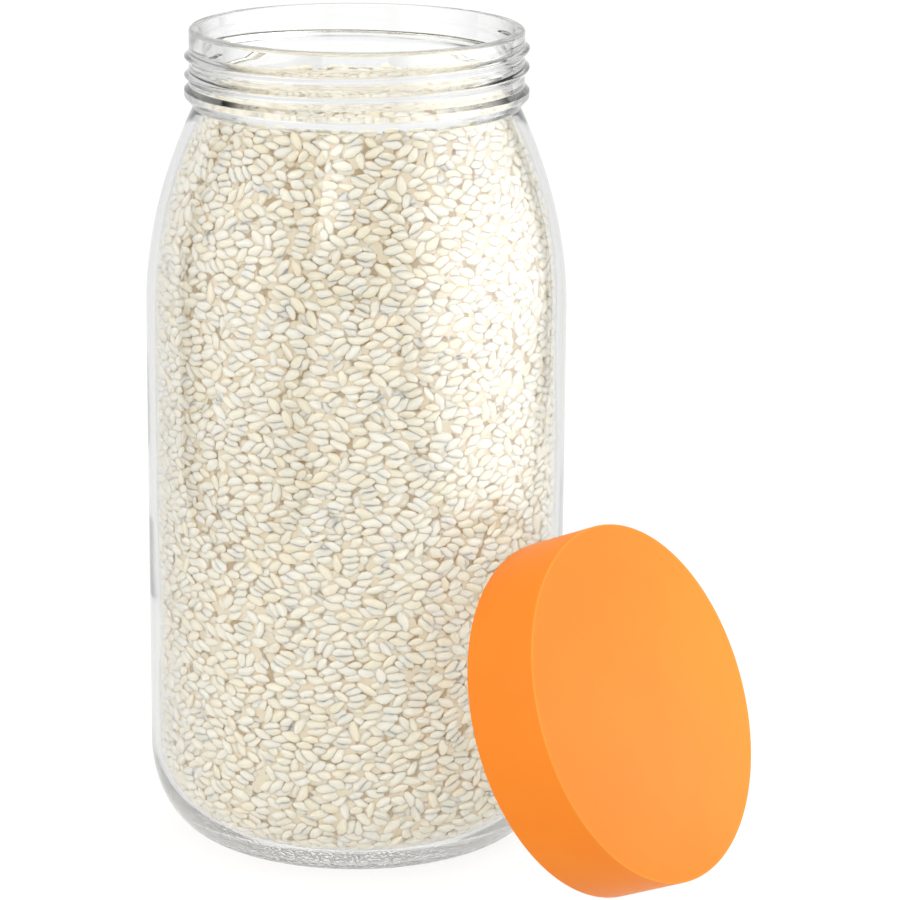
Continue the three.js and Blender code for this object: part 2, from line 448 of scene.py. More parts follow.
@dataclass(frozen=True)
class PlasticFinish:
    """Satin moulded orange plastic, with a painted highlight along the round of its top edge."""

    colour: Colour = (0.955, 0.256, 0.024, 1.0)
    pale: Colour = (0.97, 0.270, 0.027, 1.0)
    # painted highlight: lighter orange on the round of the top edge
    edge: Colour = (0.98, 0.40, 0.07, 1.0)
    roughness: float = 0.42
    roughness_spread: float = 0.14
    cloud_size: float = 30 * MM
    grain_size: float = 0.45 * MM
    grain_depth: float = 0.012 * MM
    grain_roughness: float = 0.1
    cloud_detail: float = 4.0
    cloud_span: Span = (0.3, 0.7)
    gloss: float = 0.07

    def material(self, centre: Vector) -> bpy.types.Material:
        """Make the plastic, with a painted highlight where the attribute "edge" marks the round of the top
        edge.

        Args:
            centre: the middle of the lid.

        Returns:
            The material.
        """
        sheet = new_sheet("orange_plastic")
        at = sheet.place(centre)
        cloud = sheet.noise(at, self.cloud_size, self.cloud_detail)
        grain = sheet.noise(at, self.grain_size)
        # painted highlight on the round of the top edge, where the attribute "edge" marks it
        painted_edge_highlight = sheet.node("ShaderNodeAttribute", {"attribute_name": "edge"})["Fac"]
        body = sheet.blend(cloud.ramp(*self.cloud_span), self.colour, self.pale)
        shader = sheet.node("ShaderNodeBsdfPrincipled", None, {
            "Base Color": sheet.blend(painted_edge_highlight, body, self.edge),
            "Roughness": self.roughness + (cloud - 0.5) * self.roughness_spread
                         + (grain - 0.5) * self.grain_roughness,
            "Specular IOR Level": self.gloss,
            "Normal": sheet.bump(grain, self.grain_depth),
        })
        return sheet.finish(shader[0])


@dataclass(frozen=True)
class SiliconeFinish:
    """Soft, cloudy white silicone."""

    colour: Colour = (0.76, 0.76, 0.72, 1.0)
    cloudy: Colour = (0.86, 0.86, 0.83, 1.0)
    roughness: float = 0.5
    cloud_size: float = 9 * MM
    cloud_detail: float = 3.0
    dust_size: float = 0.7 * MM
    dust_depth: float = 0.02 * MM
    dust_roughness: float = 0.3
    glow: float = 0.25
    glow_depth: float = 2 * MM

    def material(self, centre: Vector) -> bpy.types.Material:
        """Make the silicone.

        Args:
            centre: the middle of the lid.

        Returns:
            The material.
        """
        sheet = new_sheet("silicone")
        at = sheet.place(centre)
        cloud = sheet.noise(at, self.cloud_size, self.cloud_detail)
        dust = sheet.noise(at, self.dust_size)
        shader = sheet.node("ShaderNodeBsdfPrincipled", None, {
            "Base Color": sheet.blend(cloud, self.colour, self.cloudy),
            "Roughness": self.roughness + (dust - 0.5) * self.dust_roughness,
            "Subsurface Weight": self.glow,
            "Subsurface Scale": self.glow_depth,
            "Normal": sheet.bump(dust, self.dust_depth),
        })
        return sheet.finish(shader[0])


@dataclass(frozen=True)
class FloorFinish:
    """Pale floor that is white to look at where nothing shades it."""

    colour: Colour = (0.8, 0.8, 0.8, 1.0)
    seen: Colour = (0.28, 0.28, 0.28, 1.0)
    lift: Colour = (0.77, 0.77, 0.77, 1.0)
    roughness: float = 0.9

    def material(self) -> bpy.types.Material:
        """Make the floor."""
        sheet = new_sheet("pale_floor")
        looked_at = sheet.looked_at()
        shader = sheet.node("ShaderNodeBsdfPrincipled", None, {
            "Base Color": sheet.blend(looked_at, self.colour, self.seen),
            "Roughness": self.roughness,
            "Specular IOR Level": 0.0,
            "Emission Color": sheet.blend(looked_at, BLACK, self.lift),
            "Emission Strength": 1.0,
        })
        return sheet.finish(shader[0])


class Corner(NamedTuple):
    """One corner of a turned outline, with how far along its two sides it is rounded."""

    radius: float
    height: float
    reach: float = 0.0

    def point(self) -> Vector:
        """The corner in the plane that is spun round the Z axis."""
        return Vector((self.radius, 0.0, self.height))


def smooth_share(value: float) -> float:
    """A smooth step from 0 at 0 to 1 at 1."""
    share = min(max(value, 0.0), 1.0)
    return share * share * (3.0 - 2.0 * share)


def arc(middle: Corner, half_width: float, half_height: float, start: float, end: float,
        steps: int) -> list[Corner]:
    """Corners along an elliptic arc.

    Args:
        middle: the arc's centre.
        half_width: its half width along the radius.
        half_height: its half height.
        start: the first angle in degrees.
        end: the last angle in degrees.
        steps: how many stretches it has.

    Returns:
        The corners from start to end.
    """
    angles = [math.radians(start + (end - start) * step / steps) for step in range(steps + 1)]
    return [Corner(middle.radius + half_width * math.cos(angle),
                   middle.height + half_height * math.sin(angle)) for angle in angles]


def dome(edge: Corner, rise: float, steps: int) -> list[Corner]:
    """Corners along a shallow dome.

    Args:
        edge: the dome's lower edge.
        rise: how much higher its middle is.
        steps: how many stretches it has.

    Returns:
        The corners from the axis out to the edge.
    """
    shares = [step / steps for step in range(steps + 1)]
    return [Corner(edge.radius * share, edge.height + rise * (1.0 - share * share)) for share in shares]


def rounded(corners: Sequence[Corner], steps: int = 5) -> list[Vector]:
    """Points of an outline whose corners are eased by curves.

    Args:
        corners: the outline's corners in order; its two ends stay as they are.
        steps: how many stretches an eased corner gets.

    Returns:
        The points of the outline.
    """
    points = [corners[0].point()]
    for before, corner, after in zip(corners, corners[1:], corners[2:]):
        middle = corner.point()
        if corner.reach == 0.0:
            points.append(middle)
            continue
        first = middle + (before.point() - middle).normalized() * corner.reach
        last = middle + (after.point() - middle).normalized() * corner.reach
        for step in range(steps + 1):
            share = step / steps
            points.append(first.lerp(middle, share).lerp(middle.lerp(last, share), share))
    points.append(corners[-1].point())
    return points


def turned(outline: Sequence[Vector], steps: int) -> bmesh.types.BMesh:
    """Spin an outline round the Z axis to one closed body.

    Args:
        outline: points that start and end on the axis, or at the same point.
        steps: how many facets the full turn has.

    Returns:
        The body, with its faces pointing out.
    """
    mesh = bmesh.new()
    verts = [mesh.verts.new(point) for point in outline]
    edges = [mesh.edges.new(pair) for pair in pairwise(verts)]
    bmesh.ops.spin(mesh, geom=verts + edges, cent=Vector(), axis=Vector((0, 0, 1)), angle=FULL_TURN,
                   steps=steps, use_merge=True, use_duplicate=False)
    bmesh.ops.remove_doubles(mesh, verts=mesh.verts, dist=MERGE_DISTANCE)
    bmesh.ops.recalc_face_normals(mesh, faces=mesh.faces)
    return mesh


def mesh_data(name: str, mesh: bmesh.types.BMesh) -> bpy.types.Mesh:
    """Turn a finished shape, which is used up, into mesh data of that name."""
    data = bpy.data.meshes.new(name)
    mesh.to_mesh(data)
    mesh.free()
    return data


def in_scene(name: str, data: Any) -> bpy.types.Object:
    """Put new data into the scene as an object of that name."""
    made = bpy.data.objects.new(name, data)
    bpy.context.scene.collection.objects.link(made)
    return made


def mark_points(piece: bpy.types.Object, name: str, values: Sequence[float]) -> None:
    """Write one value to each point of a piece, as an attribute of that name."""
    piece.data.attributes.new(name, "FLOAT", "POINT").data.foreach_set("value", values)


def add_piece(name: str, mesh: bmesh.types.BMesh, body: Body,
              material: bpy.types.Material) -> bpy.types.Object:
    """Make a smooth piece of the object from a finished mesh.

    Args:
        name: the piece's name.
        mesh: its shape, which is used up.
        body: the body that it rides on.
        material: its finish.

    Returns:
        The piece.
    """
    data = mesh_data(name, mesh)
    data.shade_smooth()
    data.materials.append(material)
    piece = in_scene(name, data)
    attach(piece, body.value)
    return piece


@dataclass(frozen=True)
class ScrewThread:
    """A right-hand ridge round a turned wall, faded out at both ends."""

    pitch: float
    turns: float
    start_angle: float
    start_height: float
    rise: float
    root_width: float
    crest_width: float
    fade_turns: float = 0.12
    flank_power: float = 1.5

    def _turns_at(self, angle: float, height: float) -> list[tuple[float, float]]:
        """Find the turns of the ridge at a place.

        Args:
            angle: the place's angle round the axis.
            height: its height.

        Returns:
            For each turn, how far over it the place lies and how little the ridge has faded there.
        """
        found = []
        turn = ((angle - self.start_angle) / FULL_TURN) % 1.0
        while turn <= self.turns:
            fade = smooth_share(min(turn, self.turns - turn) / self.fade_turns)
            found.append((height - self.start_height - turn * self.pitch, fade))
            turn += 1.0
        return found

    def rise_at(self, angle: float, height: float) -> float:
        """How far the ridge stands off the wall at a place.

        Args:
            angle: the place's angle round the axis.
            height: its height.

        Returns:
            The rise, which is negative for an inside thread.
        """
        flank = (self.root_width - self.crest_width) / 2
        share = 0.0
        for off, fade in self._turns_at(angle, height):
            climb = min(max((self.root_width / 2 - abs(off)) / flank, 0.0), 1.0)
            share = max(share, fade * climb ** self.flank_power)
        return share * self.rise

    def upper_flank(self, angle: float, height: float) -> float:
        """How much a place lies on the upper slope of the ridge.

        Args:
            angle: the place's angle round the axis.
            height: its height.

        Returns:
            From 0 off the slope to 1 on it, less where the ridge fades out.
        """
        low, high = self.crest_width / 2, self.root_width / 2
        return max((fade for off, fade in self._turns_at(angle, height) if low <= off <= high), default=0.0)

    def raise_on(self, mesh: bmesh.types.BMesh, wall_radius: float) -> None:
        """Push the points of a wall out into the ridge.

        Args:
            mesh: the turned body, with its axis on Z.
            wall_radius: the radius of the wall that carries the thread.
        """
        for vert in mesh.verts:
            radius = vert.co.xy.length
            if abs(radius - wall_radius) < WALL_TOLERANCE:
                rise = self.rise_at(math.atan2(vert.co.y, vert.co.x), vert.co.z)
                vert.co.xy = vert.co.xy * (1.0 + rise / radius)


@dataclass
class GlassJar:
    """The glass jar: domed base, round heel, straight wall, long shoulder and screw neck."""

    foot: Vector
    body_radius: float
    height: float
    wall: float = 2.8 * MM
    heel_width: float = 18.7 * MM
    heel_height: float = 28.8 * MM
    shoulder_height: float = 65.9 * MM
    shoulder_power: float = 1.92
    base_thickness: float = 4.2 * MM
    bearing_width: float = 5 * MM
    push_up: float = 4 * MM
    land_radius: float = 54.3 * MM
    neck_wall: float = 3.4 * MM
    rim_outer_round: float = 1.1 * MM
    rim_inner_round: float = 0.8 * MM
    rim_hold: float = 0.12 * MM
    waist_inset: float = 1.4 * MM
    waist_depth: float = 25.3 * MM
    throat_ease: float = 1.6 * MM
    bead_projection: float = 1.6 * MM
    bead_depth: float = 18.2 * MM
    bead_flank: float = 1.5 * MM
    bead_crest: float = 2.1 * MM
    edge_ease: float = 0.28 * MM
    thread_pitch: float = 6.1 * MM
    thread_turns: float = 1.75
    thread_depth: float = 5.4 * MM
    thread_end: float = math.radians(79.6)
    thread_rise: float = 1.5 * MM
    thread_root: float = 4.4 * MM
    thread_crest: float = 0.5 * MM
    # how strong the painted shade is on the rim's outer round and on the thread's upper slopes
    rim_shade: float = 0.5
    ridge_shade: float = 0.5
    unevenness: float = 0.18 * MM
    unevenness_size: float = 42 * MM
    finish: GlassFinish = field(default_factory=GlassFinish)
    facets: int = 240
    row: float = 3 * MM
    thread_row: float = 0.22 * MM
    curve_steps: int = 26
    rim_outer_steps: int = 8
    rim_inner_steps: int = 6

    @classmethod
    def from_frame(cls) -> "GlassJar":
        """Take the jar's place and main sizes from its solid."""
        low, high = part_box("glass_jar")
        middle = (low + high) / 2
        return cls(Vector((middle.x, middle.y, low.z)), (high.x - low.x) / 2, high.z - low.z)

    @property
    def waist_height(self) -> float:
        """Height of the waist under the neck's bead."""
        return self.height - self.waist_depth

    @property
    def shoulder_start(self) -> float:
        """Height at which the wall starts to curve in."""
        return self.waist_height - self.shoulder_height

    @property
    def waist_radius(self) -> float:
        """Outer radius at the waist."""
        return self.land_radius - self.waist_inset

    @property
    def bearing_radius(self) -> float:
        """Outer radius of the ring that the jar stands on."""
        return self.body_radius - self.heel_width

    def shoulder(self, body: float, neck: float, height: float) -> float:
        """Radius of the wall and shoulder curve.

        Args:
            body: the radius below the shoulder.
            neck: the radius at the waist.
            height: where on the jar.

        Returns:
            The radius at that height.
        """
        share = max(0.0, (height - self.shoulder_start) / self.shoulder_height)
        return body - (body - neck) * share ** self.shoulder_power

    def inner_radius(self, height: float) -> float:
        """Radius of the inside.

        Args:
            height: where on the jar, above the heel.

        Returns:
            The radius, eased where the shoulder runs into the neck.
        """
        throat = self.waist_radius - self.neck_wall
        mouth = self.land_radius - self.neck_wall
        below = self.shoulder(self.body_radius - self.wall, throat, height)
        above = throat + (mouth - throat) * (height - self.waist_height) / self.waist_depth
        gap = below - above
        return above + (gap + math.hypot(gap, self.throat_ease)) / 2

    def heights(self, start: float, end: float, row: float) -> list[float]:
        """Evenly spaced heights.

        Args:
            start: the first height.
            end: the last height.
            row: about how far apart they lie.

        Returns:
            The heights from start to end.
        """
        steps = max(1, round(abs(end - start) / row))
        return [start + (end - start) * step / steps for step in range(steps + 1)]

    def inside(self, gap: float, top: float) -> list[Corner]:
        """Outline of the inside.

        Args:
            gap: how far in from the glass it lies.
            top: the height where it ends.

        Returns:
            Corners from the middle of the floor up to the top.
        """
        floor_radius = self.body_radius - self.wall - self.heel_width
        floor = dome(Corner(floor_radius, self.base_thickness + gap), self.push_up, self.curve_steps // 2)
        heel = arc(Corner(floor_radius, self.heel_height), self.heel_width - gap,
                   self.heel_height - self.base_thickness - gap, -90, 0, self.curve_steps)
        rows = self.heights(self.heel_height, top, self.row)[1:]
        return floor + heel[1:] + [Corner(self.inner_radius(z) - gap, z) for z in rows]

    def outside(self) -> list[Corner]:
        """Outline of the outside, from the middle of the underside up to the neck's bead and land."""
        bearing_inner = self.bearing_radius - self.bearing_width
        foot = dome(Corner(bearing_inner, 0.0), self.push_up, self.curve_steps // 2)
        heel = arc(Corner(self.bearing_radius, self.heel_height), self.heel_width, self.heel_height,
                   -90, 0, self.curve_steps)
        rows = self.heights(self.heel_height, self.waist_height, self.row)[1:-1]
        wall = [Corner(self.shoulder(self.body_radius, self.waist_radius, z), z) for z in rows]
        bead_radius = self.land_radius + self.bead_projection
        bead_top = self.height - self.bead_depth - self.bead_flank
        ease = self.edge_ease
        neck = [
            Corner(self.waist_radius, self.waist_height, ease),
            Corner(bead_radius, bead_top - self.bead_crest, ease),
            Corner(bead_radius, bead_top, ease),
            Corner(self.land_radius, self.height - self.bead_depth, ease),
        ]
        land_start = self.height - self.bead_depth + ease
        land_end = self.height - self.rim_outer_round
        land = [Corner(self.land_radius, z) for z in self.heights(land_start, land_end, self.thread_row)]
        return foot + heel + wall + neck + land

    def rim(self) -> list[Corner]:
        """Outline of the rounded rim, from outside to inside."""
        outer, inner = self.rim_outer_round, self.rim_inner_round
        mouth = self.inner_radius(self.height - inner)
        over = arc(Corner(self.land_radius - outer, self.height - outer), outer, outer, 0, 90,
                   self.rim_outer_steps)
        flat = [Corner(self.land_radius - outer - self.rim_hold, self.height),
                Corner(mouth + inner + self.rim_hold, self.height)]
        down = arc(Corner(mouth + inner, self.height - inner), inner, inner, 90, 180, self.rim_inner_steps)
        return over[1:] + flat + down

    def build(self) -> bpy.types.Object:
        """Turn the jar, raise its thread, make its inside uneven and put it in place."""
        inside = self.inside(0.0, self.height - self.rim_inner_round)
        mesh = turned(rounded(self.outside() + self.rim() + inside[-2::-1]), self.facets)
        thread = ScrewThread(
            pitch=self.thread_pitch, turns=self.thread_turns,
            start_angle=self.thread_end - self.thread_turns * FULL_TURN,
            start_height=self.height - self.thread_depth - self.thread_turns * self.thread_pitch,
            rise=self.thread_rise, root_width=self.thread_root, crest_width=self.thread_crest)
        thread.raise_on(mesh, self.land_radius)
        self._make_uneven(mesh)
        # painted shade on the neck's upward slopes and the rim's outer round
        neck_shade_shares = [self._neck_shade_at(vert.co, thread) for vert in mesh.verts]
        bmesh.ops.translate(mesh, verts=mesh.verts, vec=self.foot)
        neck = (self.waist_height, self.height)
        material = self.finish.material(self.foot, self.heel_height, neck)
        piece = add_piece("jar_glass", mesh, Body.JAR, material)
        mark_points(piece, "flank", neck_shade_shares)
        piece.visible_shadow = False
        piece.visible_diffuse = False
        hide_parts("glass_jar")
        return piece

    def _neck_shade_at(self, point: Vector, thread: ScrewThread) -> float:
        """Find how much painted shade a point gets on the neck's upward slopes and the rim's outer round.

        Args:
            point: a point of the upright jar.
            thread: the ridge on the neck.

        Returns:
            How much painted shade the point gets, from 0 off these places to 1 on the bead's upper slope.
        """
        bead = self.height - self.bead_depth
        if point.z > self.height - self.rim_outer_round:
            return self.rim_shade if point.xy.length > self.land_radius - self.rim_outer_round else 0.0
        if point.xy.length < self.land_radius - WALL_TOLERANCE:
            return 0.0
        if abs(point.z - bead + self.bead_flank / 2) <= self.bead_flank / 2:
            return 1.0
        return self.ridge_shade * thread.upper_flank(math.atan2(point.y, point.x), point.z)

    def _make_uneven(self, mesh: bmesh.types.BMesh) -> None:
        """Move the inside of the wall in and out a little, as blown glass is.

        Args:
            mesh: the turned jar, with its axis on Z.
        """
        low, high = self.heel_height, self.waist_height
        for vert in mesh.verts:
            radius = vert.co.xy.length
            middle = self.shoulder(self.body_radius, self.waist_radius, vert.co.z) - self.wall / 2
            if low < vert.co.z < high and radius < middle:
                fade = smooth_share(min(vert.co.z - low, high - vert.co.z) / self.unevenness_size)
                swell = noise.noise(vert.co / self.unevenness_size) * self.unevenness * fade
                vert.co.xy = vert.co.xy * (1.0 + swell / radius)


class Grain(NamedTuple):
    """One placed grain and its share of chalky white."""

    place: Matrix
    tint: float


class SkinPlace(NamedTuple):
    """How points lie to a skin: their depth behind it, and directions into the bed and along the skin."""

    depth: np.ndarray
    inward: np.ndarray
    around: np.ndarray
    along: np.ndarray


class TurnedSkin:
    """A turned outline that grains lie against."""

    def __init__(self, outline: Sequence[Vector]) -> None:
        """Measure the stretches of an outline that runs with the bed on its left."""
        line = np.array([(point.x, point.z) for point in outline])
        self.starts = line[:-1]
        self.top = line[:, 1].max()
        self.lengths = np.linalg.norm(np.diff(line, axis=0), axis=1)
        self.runs = np.diff(line, axis=0) / self.lengths[:, None]
        self.areas = math.pi * (line[:-1, 0] + line[1:, 0]) * self.lengths

    def draw(self, count: int, dice: np.random.Generator) -> np.ndarray:
        """Draw points evenly over the area.

        Args:
            count: how many.
            dice: the source of chance.

        Returns:
            The points, one to a row.
        """
        stretch = dice.choice(len(self.areas), count, p=self.areas / self.areas.sum())
        share = dice.random(count) * self.lengths[stretch]
        radius, height = (self.starts[stretch] + self.runs[stretch] * share[:, None]).T
        angle = dice.random(count) * FULL_TURN
        return np.stack([radius * np.cos(angle), radius * np.sin(angle), height], axis=1)

    def nearest(self, points: np.ndarray) -> SkinPlace:
        """Find how points lie to the skin.

        Args:
            points: the points, one to a row.

        Returns:
            Their depths and directions.
        """
        radius = np.hypot(points[:, 0], points[:, 1])
        away = np.stack([radius, points[:, 2]], axis=1)[:, None] - self.starts
        share = np.clip((away * self.runs).sum(axis=2), 0.0, self.lengths)
        off = away - self.runs * share[..., None]
        best = (off * off).sum(axis=2).argmin(axis=1)
        run = self.runs[best]
        out = points[:, :2] / np.maximum(radius, MERGE_DISTANCE)[:, None]
        depth = (off[np.arange(len(points)), best] * np.stack([-run[:, 1], run[:, 0]], axis=1)).sum(axis=1)
        return SkinPlace(
            depth,
            np.column_stack([-run[:, 1:] * out, run[:, 0]]),
            np.column_stack([-out[:, 1], out[:, 0], np.zeros(len(points))]),
            np.column_stack([run[:, :1] * out, run[:, 1]]),
        )


def close_pairs(points: np.ndarray, reach: float) -> np.ndarray:
    """Find the pairs of points that lie near each other.

    Args:
        points: the points, one to a row.
        reach: how near.

    Returns:
        The two numbers of each pair, one pair to a row.
    """
    cells = np.floor(points / reach).astype(np.int64)
    cells -= cells.min(axis=0) - 1
    _, rows, levels = cells.max(axis=0) + 2
    keys = (cells[:, 0] * rows + cells[:, 1]) * levels + cells[:, 2]
    order = np.argsort(keys, kind="stable")
    ranked = keys[order]
    found = []
    for step_x, step_y, step_z in product((-1, 0, 1), repeat=3):
        wanted = keys + (step_x * rows + step_y) * levels + step_z
        low = np.searchsorted(ranked, wanted, "left")
        count = np.searchsorted(ranked, wanted, "right") - low
        first = np.repeat(np.arange(len(points)), count)
        turn = np.arange(len(first)) - np.repeat(np.cumsum(count) - count, count)
        second = order[np.repeat(low, count) + turn]
        gap = points[first] - points[second]
        near = (first < second) & ((gap * gap).sum(axis=1) < reach * reach)
        found.append(np.column_stack([first[near], second[near]]))
    return np.concatenate(found)


@dataclass
class GrainPile:
    """Grains as rods of three beads, which push each other apart until they lie side by side."""

    middles: np.ndarray
    axes: np.ndarray
    halves: np.ndarray
    beads: np.ndarray
    tilts: np.ndarray
    ease: float = 0.7
    pull: float = 0.12
    search_every: int = 5
    search_margin: float = 0.8 * MM
    longest_step: float = 0.8 * MM

    def bead_points(self) -> np.ndarray:
        """The middles of all beads, three rows to a grain."""
        arms = (self.halves - self.beads)[:, None] * self.axes
        return np.stack([self.middles - arms, self.middles, self.middles + arms], axis=1).reshape(-1, 3)

    def settle(self, skin: TurnedSkin, depth: float, front: "GrainPile | None", rounds: int) -> None:
        """Push the grains apart and towards the skin.

        Args:
            skin: what they lie against.
            depth: how far behind the skin they start.
            front: grains that lie in front of them already, and stay.
            rounds: how often they are pushed.
        """
        count = len(self.middles)
        reach = np.repeat(self.beads, 3)
        held = front.bead_points() if front else np.empty((0, 3))
        reach = np.concatenate([reach, np.repeat(front.beads, 3)]) if front else reach
        arms = self.halves - self.beads
        for step in range(rounds):
            points = np.concatenate([self.bead_points(), held])
            if step % self.search_every == 0:
                pairs = close_pairs(points, 2 * reach.max() + self.search_margin)
                pairs = pairs[(pairs[:, 0] // 3 != pairs[:, 1] // 3) & (pairs[:, 0] < 3 * count)]
            push = self._pushes(points, reach, pairs)[:3 * count].reshape(-1, 3, 3)
            move = np.clip(push.sum(axis=1) * self.ease, -self.longest_step, self.longest_step)
            self.middles = self.middles + move
            place = skin.nearest(self.middles)
            twist = (push[:, 2] - push[:, 0]) / (2 * arms)[:, None] * self.ease
            poke = self.tilts - (self.axes * place.inward).sum(axis=1)
            self.axes = self.axes + twist + place.inward * (poke * self.ease)[:, None]
            self.axes /= np.linalg.norm(self.axes, axis=1)[:, None]
            short = depth + self.beads + np.abs(self.tilts) * arms - place.depth
            self.middles += place.inward * np.where(short > 0.0, short, short * self.pull)[:, None]

    @staticmethod
    def _pushes(points: np.ndarray, reach: np.ndarray, pairs: np.ndarray) -> np.ndarray:
        """How far each bead is pushed by those that it overlaps.

        Args:
            points: the middles of the beads.
            reach: their radii.
            pairs: the pairs that may overlap.

        Returns:
            One push to a row.
        """
        first, second = pairs.T
        apart = points[first] - points[second]
        gap = np.maximum(np.linalg.norm(apart, axis=1), MERGE_DISTANCE)
        overlap = np.maximum(reach[first] + reach[second] - gap, 0.0)
        move = apart * (overlap / gap / 2)[:, None]
        count = len(points)
        sums = [np.bincount(first, part, count) - np.bincount(second, part, count) for part in move.T]
        return np.stack(sums, axis=1)


class GrainLayer(NamedTuple):
    """One shell of grains: how far behind the glass it lies and how much of its area they cover."""

    depth: float
    cover: float


@dataclass
class RiceFill:
    """The rice: modelled grains behind the glass and on top, over a shaded bed."""

    jar: GlassJar
    level: float
    solid_crown: float = 1.5 * MM
    crown: float = 0.5 * MM
    sunk: float = 0.5 * MM
    wall_rise: float = 0.5 * MM
    wall_band: float = 4 * MM
    clearance: float = 0.12 * MM
    length: float = 6.2 * MM
    width: float = 3.5 * MM
    thickness: float = 1.9 * MM
    size_spread: float = 0.08
    bead_share: float = 0.86
    lean: float = math.radians(19)
    loose_share: float = 0.13
    poke: float = math.radians(9)
    roll: float = math.radians(16)
    layers: tuple[GrainLayer, ...] = (GrainLayer(0.0, 1.05), GrainLayer(0.8 * MM, 1.0))
    rounds: int = 40
    bed_depth: float = 1.65 * MM
    bed_facets: int = 64
    top_steps: int = 8
    level_slope: float = 0.7
    taper: Span = (2.1, 0.56)
    germ_start: float = 0.4
    germ_flat: float = 0.7
    bend: float = 0.14
    tint_spread: Span = (2.2, 2.0)
    piece_grains: int = 2400
    seed: int = 20
    finish: RiceFinish = field(default_factory=RiceFinish)

    @classmethod
    def from_frame(cls, jar: GlassJar) -> "RiceFill":
        """Take the rice's level from its solid."""
        return cls(jar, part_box("rice_fill")[1].z - cls.solid_crown)

    def skin(self, gap: float) -> list[Vector]:
        """Outline of the rice.

        Args:
            gap: how far in from the glass and down from the level it lies.

        Returns:
            Points from the middle of the floor, up the wall and over the top to the axis.
        """
        level = self.level - gap - self.sunk
        sides = self.jar.inside(gap, level + self.wall_rise)
        top = dome(Corner(sides[-1].radius - self.wall_band, level), self.crown, self.top_steps)
        return [corner.point() for corner in sides + top[::-1]]

    def template(self) -> bpy.types.Mesh:
        """Model one grain of unit size: a pointed, slightly bent bean, flattened where its germ was."""
        mesh = bmesh.new()
        bmesh.ops.create_uvsphere(mesh, u_segments=8, v_segments=6, radius=1.0,
                                  matrix=Matrix.Rotation(math.pi / 2, 4, "Y"))
        power, root = self.taper
        for vert in mesh.verts:
            along = min(abs(vert.co.x), 1.0)
            side = vert.co.yz.length
            if side > MERGE_DISTANCE:
                vert.co.yz = vert.co.yz * ((1.0 - along ** power) ** root / side)
            if vert.co.x > self.germ_start and vert.co.y > 0.0:
                vert.co.y *= self.germ_flat
            vert.co.y -= self.bend * along * along
        return mesh_data("grain", mesh)

    def lay(self) -> list[Grain]:
        """Lay the shells of grains one behind the other, none of them standing out of the top."""
        dice = np.random.default_rng(self.seed)
        skin = TurnedSkin(self.skin(self.clearance))
        grains, front = [], None
        for layer in self.layers:
            pile = self._strew(layer, skin, dice)
            pile.settle(skin, layer.depth, front, self.rounds)
            tops = pile.middles[:, 2] + np.abs(pile.axes[:, 2]) * pile.halves + self.width / 2
            pile.middles[:, 2] -= np.clip(tops - skin.top, 0.0, None)
            grains += self._grains_of(pile, skin, dice)
            front = pile
        return grains

    def _strew(self, layer: GrainLayer, skin: TurnedSkin, dice: np.random.Generator) -> GrainPile:
        """Throw the grains of one shell at random, most of them lying level on the wall.

        Args:
            layer: the shell.
            skin: what it lies against.
            dice: the source of chance.

        Returns:
            The grains, which still overlap.
        """
        half, bead = self.length / 2, (self.width + self.thickness) / 4 * self.bead_share
        grain_area = 4 * bead * (half - bead) + math.pi * bead * bead
        count = round(layer.cover * skin.areas.sum() / grain_area)
        points = skin.draw(count, dice)
        place = skin.nearest(points)
        loose = (dice.random(count) < self.loose_share) | (np.abs(place.inward[:, 2]) > self.level_slope)
        angle = np.where(loose, dice.uniform(-math.pi, math.pi, count), dice.normal(0.0, self.lean, count))
        flip = dice.choice((-1.0, 1.0), count)
        across, upward = (np.cos(angle) * flip)[:, None], (np.sin(angle) * flip)[:, None]
        axes = place.around * across + place.along * upward
        size = dice.normal(1.0, self.size_spread, (2, count))
        middles = points + place.inward * (layer.depth + bead)
        tilts = np.sin(dice.normal(0.0, self.poke, count))
        return GrainPile(middles, axes, half * size[0] * size[1], bead * size[0], tilts)

    def _grains_of(self, pile: GrainPile, skin: TurnedSkin, dice: np.random.Generator) -> list[Grain]:
        """Give the settled rods their width, thickness, roll and tint.

        Args:
            pile: the settled rods.
            skin: what they lie against.
            dice: the source of chance.

        Returns:
            The grains.
        """
        grains = []
        rolls = dice.normal(0.0, self.roll, len(pile.middles))
        tints = dice.beta(*self.tint_spread, len(pile.middles))
        sizes = pile.beads / pile.beads.mean() / 2
        inwards = skin.nearest(pile.middles).inward
        rows = zip(pile.middles, pile.axes, inwards, pile.halves, rolls, sizes, tints)
        for middle, axis, inward, half, roll, size, tint in rows:
            long_axis = Vector(axis)
            wide_axis = Matrix.Rotation(roll, 3, long_axis) @ Vector(inward).cross(long_axis).normalized()
            thin_axis = long_axis.cross(wide_axis)
            columns = (long_axis * half, wide_axis * (self.width * size),
                       thin_axis * (self.thickness * size))
            turn = Matrix(columns).transposed().to_4x4()
            grains.append(Grain(Matrix.Translation(Vector(middle) + self.jar.foot) @ turn, tint))
        return grains

    def build(self) -> list[bpy.types.Object]:
        """Model the bed and the grains, and put them in place."""
        bed = turned(self.skin(self.bed_depth), self.bed_facets)
        bmesh.ops.translate(bed, verts=bed.verts, vec=self.jar.foot)
        core = add_piece("rice_bed", bed, Body.JAR, self.finish.bed())
        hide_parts("rice_fill")
        grains = sorted(self.lay(), key=lambda grain: grain.place.translation.z)
        material = self.finish.grains()
        template = self.template()
        batches = [grains[start:start + self.piece_grains]
                   for start in range(0, len(grains), self.piece_grains)]
        pieces = [self._grain_piece(f"rice_grains_{number}", batch, template, material)
                  for number, batch in enumerate(batches, 1)]
        log.info("rice of %d grains", len(grains))
        bpy.data.meshes.remove(template)
        return [core] + pieces

